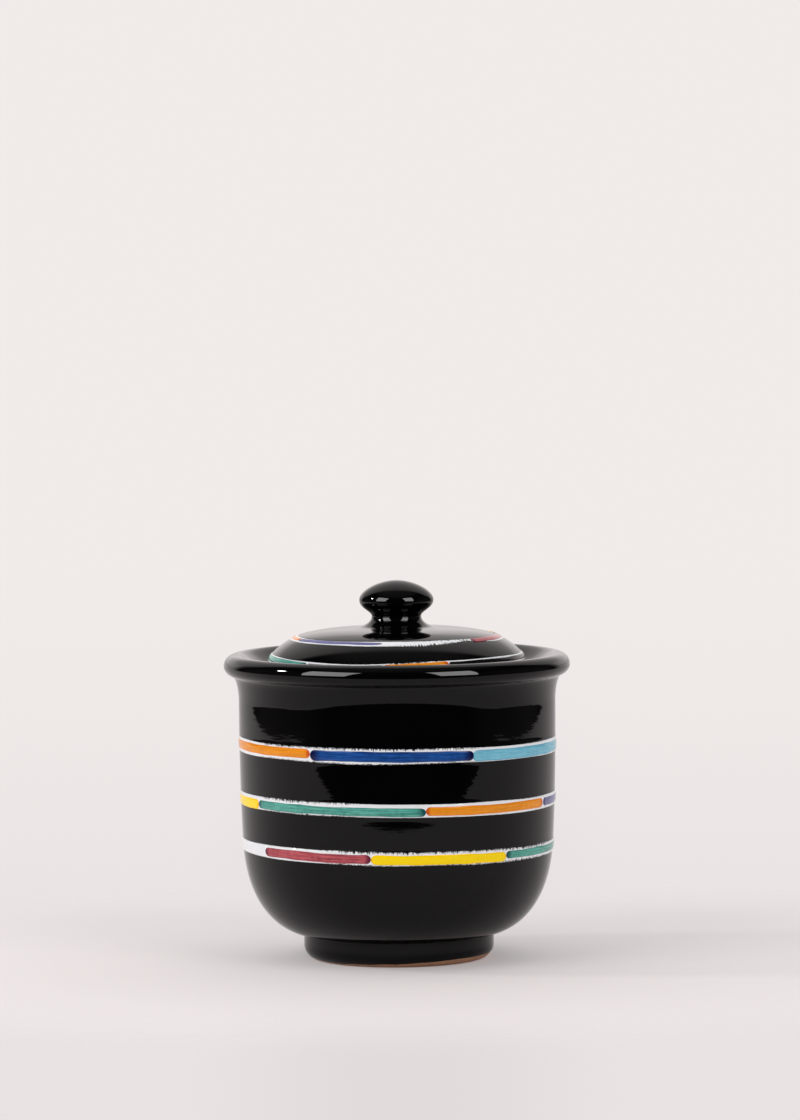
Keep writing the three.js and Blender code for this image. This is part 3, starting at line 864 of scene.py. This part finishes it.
def make_lid():
    inside = FLANGE_RADIUS - LID_FLANGE_THICKNESS
    hollow_top = at(0, STUB_FOOT_HEIGHT - LID_THICKNESS)
    hollow_edge = at(inside, LID_THICKNESS)
    depth = hollow_top[1] - hollow_edge[1]
    top_pull = at(inside * LID_HOLLOW_FULLNESS, 0)
    hollow = bezier(hollow_top, top_pull, at(0, depth * LID_HOLLOW_FULLNESS), hollow_edge, steps=30)
    flange_in, flange_out = at(inside, -LID_FLANGE_DEPTH), at(FLANGE_RADIUS, -LID_FLANGE_DEPTH)
    seat_in, seat_out = at(FLANGE_RADIUS, 0), at(LID_RADIUS, 0)
    edge_top = at(LID_RADIUS, LID_EDGE_HEIGHT)
    stub_foot = at(KNOB_NECK_RADIUS + STUB_FILLET_WIDTH, STUB_FOOT_HEIGHT)
    stub_top = at(KNOB_NECK_RADIUS, STUB_TOP)
    fillet_pull = step(STUB_FILLET_PULL, 180 - STUB_FILLET_SLOPE)
    section = joined(
        hollow,
        eased(hollow_edge, flange_in, flange_out, LID_EDGE_EASE),
        eased(flange_in, flange_out, seat_in, LID_EDGE_EASE),
        eased(flange_out, seat_in, seat_out, LID_EDGE_EASE),
        eased(seat_in, seat_out, edge_top, LID_EDGE_EASE),
        lid_dome(),
        bezier(stub_foot, fillet_pull, at(0, -STUB_FILLET_PULL), stub_top, steps=16),
        at(0, STUB_TOP),
    )
    piece = turned("lid_glazed_cover", raised(section), MATERIALS["black_glaze"])
    finish_piece(piece, "lid", "black_glaze", "lid_cover")


def make_knob():
    neck = at(KNOB_NECK_RADIUS, 0)
    rim = at(KNOB_RADIUS, KNOB_UNDERSIDE_HEIGHT)
    top = at(0, KNOB_UNDERSIDE_HEIGHT + KNOB_CAP_HEIGHT)
    underside = bezier(neck, at(0, KNOB_NECK_PULL), at(0, -KNOB_RIM_PULL), rim, steps=24)
    cap = bezier(rim, at(0, KNOB_CAP_RIM_PULL), at(KNOB_CAP_TOP_PULL, 0), top, steps=28)
    section = joined(at(0, 0), underside, cap) + at(0, STUB_TOP)
    piece = turned("knob_glazed", raised(section), MATERIALS["black_glaze"])
    finish_piece(piece, "lid", "black_glaze", "lid_knob")


# Vector attribute of a piece, one value for each point
def set_attribute(piece, name, values):
    layer = piece.data.attributes.new(name, "FLOAT_VECTOR", "POINT")
    layer.data.foreach_set("vector", np.asarray(values, np.float32).ravel())


# The point numbers of a grid, row by row
def grid_rows(count, columns):
    return [list(range(i * columns, (i + 1) * columns)) for i in range(count)]


# How far a band lies above its node at each azimuth
def band_shift(name, azimuths):
    lift, climb, climb_azimuth = BANDS[name].get("tilt", (0.0, 0.0, 0.0))
    depth, middle, arc_width = BANDS[name].get("sag", (0.0, 0.0, 1.0))
    turn = (azimuths - middle + 180) % 360 - 180
    tilt = lift + climb * np.cos(np.radians(azimuths - climb_azimuth))
    return tilt - depth * np.exp(-(turn / arc_width) ** 2)


# Small teeth along a torn edge, from 0 to about 1: coarse ones, and others twice as fine
def teeth(azimuths, count, seed):
    coarse = wave(azimuths, count, seed)
    fine = wave(azimuths, 2 * count, seed + FINE_TOOTH_SEED)
    return np.clip(coarse + fine - TOOTH_CUT, 0, TOOTH_LIMIT)


# How much is worn from an edge of a band at each azimuth
def band_wear(band, edge, azimuths):
    start, end, depth = band.get(f"worn_{edge}", (0.0, 0.0, 0.0))
    return depth * within_arcs(azimuths, [(start, end)], WEAR_FADE)


# An edge of a band for each azimuth, as a distance along the side, and how ragged it is there
def band_edge(name, edge, place, azimuths):
    band = BANDS[name]
    outwards, sway, fray, seeds = BAND_EDGES[edge]
    first_seed = BAND_SEED_STEP * list(BANDS).index(name)
    sway_seed, fray_seed, tooth_seed = (first_seed + s for s in seeds)
    count, depth = band["teeth"]
    ragged = within_arcs(azimuths, band[f"ragged_{edge}"], RAGGED_FADE)
    torn = depth * ragged * (TOOTH_RISE - teeth(azimuths, count, tooth_seed))
    along = place + band_shift(name, azimuths) - outwards * band_wear(band, edge, azimuths)
    along += sway * wave(azimuths, EDGE_SWAYS, sway_seed)
    along += fray * wave(azimuths, EDGE_FRAYS, fray_seed) + outwards * torn
    return along, ragged


def make_band(name, side):
    azimuths = round_azimuths(BAND_COLUMNS)
    low, high = side.node_span(name)
    foot, ragged_foot = band_edge(name, "foot", low, azimuths)
    top, ragged_top = band_edge(name, "top", high, azimuths)
    ragged = np.maximum(ragged_top, ragged_foot)
    lines = []
    for share in BAND_SHARES:
        along = foot + share * (top - foot)
        from_edge = np.minimum(along - foot, top - along)
        lift = WHITE_THICKNESS * np.sqrt(1 - (1 - np.clip(from_edge / WHITE_EDGE, 0, 1)) ** 2)
        lines.append((along, lift))
    lines += [(along, np.full(BAND_COLUMNS, -BAND_SUNK)) for along in (top, foot)]
    points = [placed(side.lifted(along, lift), azimuths) for along, lift in lines]
    values = [np.column_stack([top - along, along - foot, ragged]) for along, _ in lines]
    faces = grid_faces(grid_rows(len(lines), BAND_COLUMNS), ring=True, closed=True)
    piece = mesh_piece(f"{name}_white", np.vstack(points), faces, MATERIALS["white_glaze"])
    set_attribute(piece, "band", np.vstack(values))
    finish_piece(piece, BANDS[name]["body"], "white_glaze", name)


# The azimuths between which a node lies
def node_arc(name):
    points = np.array([v.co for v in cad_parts[name].data.vertices])
    azimuths = np.degrees(np.arctan2(points[:, 0], -points[:, 1]))
    middle = math.degrees(math.atan2(points[:, 0].mean(), -points[:, 1].mean()))
    turns = (azimuths - middle + 180) % 360 - 180
    return middle + turns.min(), middle + turns.max()


# Azimuths along a stroke, closer together at its ends, with their distances from its start and from its end
def stroke_run(name, radius, reach):
    start, end = np.array(node_arc(name)) + np.array([-1, 1]) * reach
    spread = math.degrees(STROKE_SPREAD / radius)
    turn = end - start + 2 * spread
    length = math.radians(turn) * radius
    even = np.linspace(0, 1, max(STROKE_LEAST_STEPS, round(length / STROKE_STEP)))
    crowded = (1 - np.cos(math.pi * even)) / 2
    share = (crowded + even) / 2
    return start - spread + share * turn, share * length, (1 - share) * length


# Fullness of a stroke from 0 to 1 along its length: ends as blunt as the brush, or a taper to a point
def stroke_fullness(from_start, from_end, half, taper, seed):
    chances = [noise.noise(Vector((seed, *tip_seed))) for tip_seed in TIP_SEEDS]
    start_length, end_length = (half * (STROKE_BLUNT + STROKE_BLUNT_RANGE * c) for c in chances)
    fullness = np.ones(len(from_start))
    for distance, tip_length in ((from_start, start_length), (from_end, taper or end_length)):
        inside = np.clip(distance / tip_length, 0, 1)
        fullness = np.minimum(fullness, np.maximum(STROKE_TIP, np.sqrt(1 - (1 - inside) ** 2)))
    return fullness


# A brush stroke on a band. Every second stroke round a band lies over its neighbours.
def make_stroke(name, band, side, layer):
    slot = f"enamel_{name.rsplit('_', 1)[1]}"
    habit = STROKE_HABITS.get(name, {})
    low, high = side.node_span(name)
    middle = (low + high) / 2 - habit.get("drop", 0.0)
    half = (high - low) / 2 + habit.get("grow", 0.0)
    radius = side.lifted(np.array([middle]), 0.0)[0, 0]
    azimuths, from_start, from_end = stroke_run(name, radius, habit.get("reach", (0, 0)))
    count = len(azimuths)
    seed = float(sum(map(ord, name)) % STROKE_SEEDS)
    fullness = stroke_fullness(from_start, from_end, half, habit.get("taper"), seed)
    waver = STROKE_WAVER * wave(azimuths, STROKE_WAVERS, seed + WAVER_SEED)
    sway = STROKE_SWAY * wave(azimuths, STROKE_SWAYS, seed + SWAY_SEED)
    widths = half * fullness * (1 + waver)
    centre = middle + band_shift(band, azimuths) + sway
    lines = []
    for across in STROKE_SHARES:
        swell = ENAMEL_THICKNESS * math.sqrt(1 - abs(across) ** STROKE_FLATNESS) * np.sqrt(fullness)
        lines.append((across, WHITE_THICKNESS + layer * LAYER_STEP + swell))
    lines += [(across, np.full(count, -STROKE_SUNK)) for across in (1, -1)]
    points = [placed(side.lifted(centre + across * widths, lift), azimuths) for across, lift in lines]
    values = [np.column_stack([from_start, from_end, np.full(count, across)]) for across, _ in lines]
    rows = grid_rows(len(lines), count)
    faces = grid_faces(rows, ring=False, closed=True)
    faces.append([row[0] for row in rows])
    faces.append([row[-1] for row in rows[::-1]])
    piece = mesh_piece(f"{name}_enamel", np.vstack(points), faces, MATERIALS[slot])
    set_attribute(piece, "stroke", np.vstack(values))
    finish_piece(piece, BANDS[band]["body"], slot, name)


def make_bands():
    lid_edge = at(LID_RADIUS, LID_EDGE_EASE)
    sides = {"jar": Side(jar_side()), "lid": Side(raised(joined(lid_edge, lid_dome())))}
    for name, band in BANDS.items():
        side = sides[band["body"]]
        make_band(name, side)
        strokes = sorted(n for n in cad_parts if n.startswith(f"{name}_stroke_"))
        for i, node in enumerate(strokes):
            make_stroke(node, name, side, i % 2)


# The emptied node tree of a material or world of the stage
def empty_tree(owner):
    owner.use_nodes = True
    owner.node_tree.nodes.clear()
    return owner.node_tree


# The sheet's outline: square at the back, and rounded at the two front corners
def sheet_outline():
    turn = np.radians(np.linspace(0, 90, SHEET_CORNER_STEPS + 1))
    across = SHEET_SIDE - SHEET_CORNER * (1 - np.cos(turn))
    depth = SHEET_FRONT + SHEET_CORNER * (1 - np.sin(turn))
    left = [(-x, y, 0.0) for x, y in zip(across, depth)]
    right = [(x, y, 0.0) for x, y in zip(across[::-1], depth[::-1])]
    return [(SHEET_SIDE, SHEET_BACK, 0.0), (-SHEET_SIDE, SHEET_BACK, 0.0), *left, *right]


# What the camera sees of the floor away from the jar, darker in the middle with painted shade of the jar
def floor_colour_with_painted_shade(tree, across, start, end):
    return mixed(tree, ramp(tree, across, start, end), rgba(FLOOR_MIDDLE_PAINTED_SHADE), rgba(FLOOR_SIDES))


# The sheet keeps the jar's shadow. To the camera it shines a little, and fades out away from the jar.
def make_sheet():
    outline = sheet_outline()
    mesh = bpy.data.meshes.new("sheet")
    mesh.from_pydata(outline, [], [tuple(range(len(outline)))])
    material = bpy.data.materials.new("sheet_paper")
    tree = empty_tree(material)
    place = object_space(tree)
    fade_place = {0: place, 1: SHEET_FADE_SHARE}
    shared = add_node(tree, "ShaderNodeVectorMath", fade_place, operation="MULTIPLY").outputs[0]
    distance = add_node(tree, "ShaderNodeVectorMath", {0: shared}, operation="LENGTH").outputs["Value"]
    fade = ramp(tree, distance, *SHEET_FADE)
    across = maths(tree, "ABSOLUTE", add_node(tree, "ShaderNodeSeparateXYZ", {0: place}).outputs["X"])
    path = add_node(tree, "ShaderNodeLightPath")
    gone = maths(tree, "MULTIPLY", fade, path.outputs["Is Camera Ray"])
    paper = add_node(tree, "ShaderNodeBsdfDiffuse", {"Color": rgba(SHEET_COLOUR)}).outputs[0]
    # The colour of its shine is darker in the middle: painted shade of the jar
    glow = floor_colour_with_painted_shade(tree, across, *SHEET_PAINTED_SHADE_SPAN)
    shine = add_node(tree, "ShaderNodeEmission", {"Color": glow}).outputs[0]
    share = maths(tree, "MULTIPLY", path.outputs["Is Camera Ray"], SHEET_SHINE)
    paper = add_node(tree, "ShaderNodeMixShader", {0: share, 1: paper, 2: shine}).outputs[0]
    clear = add_node(tree, "ShaderNodeBsdfTransparent").outputs[0]
    whole = add_node(tree, "ShaderNodeMixShader", {0: gone, 1: paper, 2: clear}).outputs[0]
    add_node(tree, "ShaderNodeOutputMaterial", {"Surface": whole})
    mesh.materials.append(material)
    add_object("sheet", mesh)


# What reflections see: a pale backdrop behind, brighter low down, and a dark room with a dim ceiling
def mirrored_room(tree, x, y, z):
    y_squared = maths(tree, "MULTIPLY", y, y)
    z_squared = maths(tree, "MULTIPLY", z, z)
    length = maths(tree, "SQRT", maths(tree, "ADD", y_squared, z_squared))
    bow = maths(tree, "MULTIPLY", maths(tree, "MULTIPLY", x, x), BACKDROP_BOW)
    share = maths(tree, "SUBTRACT", maths(tree, "DIVIDE", y, length), bow)
    behind = ramp(tree, share, *BACKDROP_EDGE)
    across = maths(tree, "ABSOLUTE", x)
    pale = maths(tree, "MULTIPLY", behind, ramp(tree, across, *BACKDROP_SIDES))
    room = mixed(tree, ramp(tree, across, *ROOM_SIDES_EDGE), rgba(ROOM), rgba(ROOM_SIDES))
    room = mixed(tree, ramp(tree, z, *ROOM_TOP_EDGE), room, rgba(ROOM_TOP))
    glow = maths(tree, "MULTIPLY", ramp(tree, z, *BACKDROP_GLOW_START), ramp(tree, z, *BACKDROP_GLOW_END))
    backdrop = mixed(tree, glow, rgba(BACKDROP), rgba(BACKDROP_GLOW))
    return mixed(tree, pale, room, backdrop)


# The world: pale to the camera, a room to reflections, and otherwise a soft fill that is stronger from behind
def make_world():
    world = bpy.data.worlds.new("studio")
    bpy.context.scene.world = world
    tree = empty_tree(world)
    direction = add_node(tree, "ShaderNodeTexCoord").outputs["Generated"]
    x, y, z = add_node(tree, "ShaderNodeSeparateXYZ", {0: direction}).outputs
    path = add_node(tree, "ShaderNodeLightPath")
    glossy = maths(tree, "MAXIMUM", path.outputs["Is Glossy Ray"], path.outputs["Is Transmission Ray"])
    ambient = mixed(tree, ramp(tree, y, *AMBIENT_EDGE), rgba(AMBIENT_FRONT), rgba(AMBIENT_BACK))
    colour = mixed(tree, glossy, ambient, mirrored_room(tree, x, y, z))
    # The floor that the camera sees beyond the sheet is darker in the middle: painted shade of the jar
    floor = floor_colour_with_painted_shade(tree, maths(tree, "ABSOLUTE", x), *FLOOR_PAINTED_SHADE_SPAN)
    seen = mixed(tree, ramp(tree, z, *HORIZON), floor, rgba(BACKDROP))
    colour = mixed(tree, path.outputs["Is Camera Ray"], colour, seen)
    background = add_node(tree, "ShaderNodeBackground", {"Color": colour}).outputs[0]
    add_node(tree, "ShaderNodeOutputWorld", {"Surface": background})


# Turns a stage object to face the jar from an azimuth, an elevation and a distance
def face_jar(piece, azimuth, elevation, distance):
    a, e = math.radians(azimuth), math.radians(elevation)
    towards = Vector((math.sin(a) * math.cos(e), -math.cos(a) * math.cos(e), math.sin(e)))
    piece.location = Vector(LIGHT_AIM) + distance * towards
    piece.rotation_mode = "QUATERNION"
    piece.rotation_quaternion = towards.to_track_quat("Z", "Y")


# A lamp that reflections don't show, and a card in its place that nothing but reflections shows
def make_light(name, azimuth, elevation, distance, width, height, watts, glow):
    data = bpy.data.lights.new(name, "AREA")
    data.shape = "RECTANGLE"
    data.size = width
    data.size_y = height
    data.energy = watts
    lamp = add_object(name, data)
    face_jar(lamp, azimuth, elevation, distance)
    lamp.visible_camera = False
    lamp.visible_glossy = False
    corners = [(x * width / 2, y * height / 2, 0.0) for x, y in ((-1, -1), (1, -1), (1, 1), (-1, 1))]
    mesh = bpy.data.meshes.new(f"{name}_card")
    mesh.from_pydata(corners, [], [(0, 1, 2, 3)])
    material = bpy.data.materials.new(f"{name}_card")
    tree = empty_tree(material)
    shine = add_node(tree, "ShaderNodeEmission", {"Strength": glow}).outputs[0]
    add_node(tree, "ShaderNodeOutputMaterial", {"Surface": shine})
    mesh.materials.append(material)
    card = add_object(f"{name}_card", mesh)
    face_jar(card, azimuth, elevation, distance)
    card.visible_camera = False
    card.visible_diffuse = False
    card.visible_shadow = False


def make_camera():
    data = bpy.data.cameras.new("photo_camera")
    data.sensor_width = SENSOR
    data.lens = FOCAL_PIXELS / IMAGE_HEIGHT * SENSOR
    camera = add_object("photo_camera", data)
    aim = Matrix.Rotation(math.radians(90 - CAMERA_PITCH), 4, "X")
    roll = Matrix.Rotation(math.radians(CAMERA_ROLL), 4, "Z")
    camera.matrix_world = Matrix.Translation(CAMERA_PLACE) @ aim @ roll
    bpy.context.scene.camera = camera


make_camera()
glaze_line = glaze_line_angles()
make_foot(glaze_line)
make_jar(glaze_line)
make_lid()
make_knob()
make_bands()
make_sheet()
make_world()
for light_name, light in LIGHTS.items():
    make_light(light_name, **light)
bpy.context.scene.view_settings.view_transform = "Standard"
